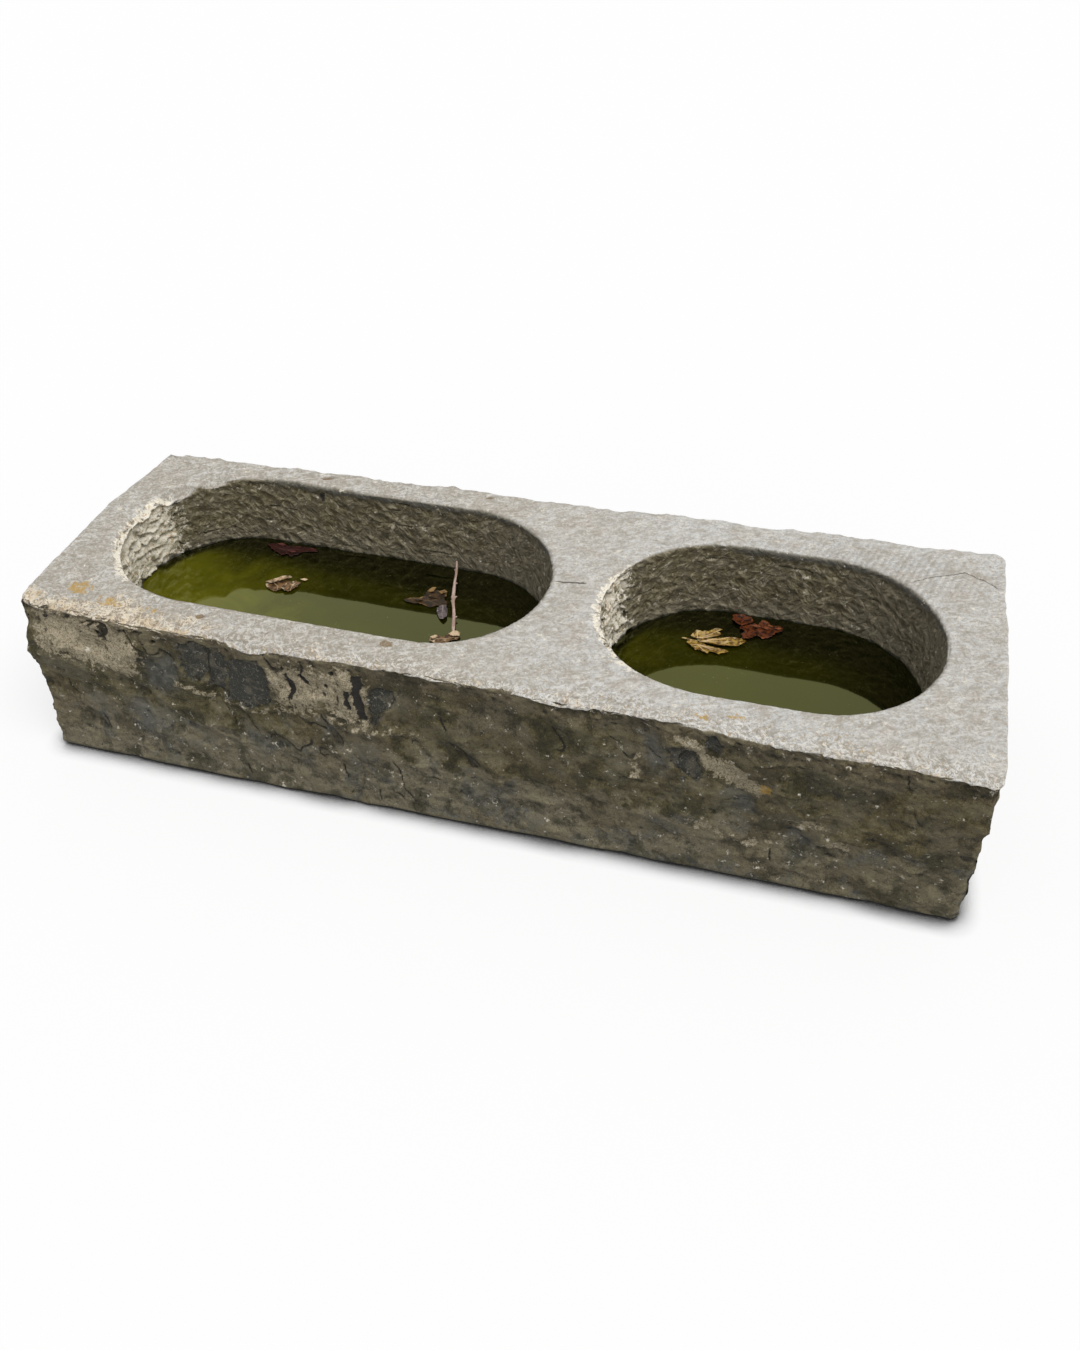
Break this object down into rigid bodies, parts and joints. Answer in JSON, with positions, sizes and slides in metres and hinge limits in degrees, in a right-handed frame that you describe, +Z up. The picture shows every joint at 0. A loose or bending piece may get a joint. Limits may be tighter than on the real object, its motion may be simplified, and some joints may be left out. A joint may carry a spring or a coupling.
{
  "type": "water trough",
  "caption": "Long trough carved from one rough-quarried stone, with two stadium-shaped basins of green water in which leaves and a twig float.",
  "frame": {"origin": "on the ground, under the middle of the stone's bounding box", "axes": "+X along the stone towards its wide end, +Y towards its back, +Z up"},
  "size_m": [1.819, 0.649, 0.3555],
  "materials": {
    "stone": "weathered grey limestone, picked on top and in the basins, rough quarried with lichen on the sides",
    "water": "still green water, glossy",
    "bare_wood": "barkless, sun-bleached",
    "red_leaf": "wet dark red leaf",
    "pale_leaf": "dry tan leaf",
    "brown_leaf": "wet brown leaf",
    "husk": "grey dry husk",
    "yellow_leaf": "yellow leaf with pale veins",
    "russet_leaf": "wet red-brown leaf"
  },
  "bodies": {
    "root": {"trough_block": "stone", "water_long_basin": "water", "water_short_basin": "water", "twig": "bare_wood", "red_leaf": "red_leaf", "curled_leaf": "pale_leaf", "brown_leaf": "brown_leaf", "seed_husk": "husk", "tan_leaf": "pale_leaf", "yellow_leaf": "yellow_leaf", "russet_leaf": "russet_leaf"}
  },
  "joints": []
}
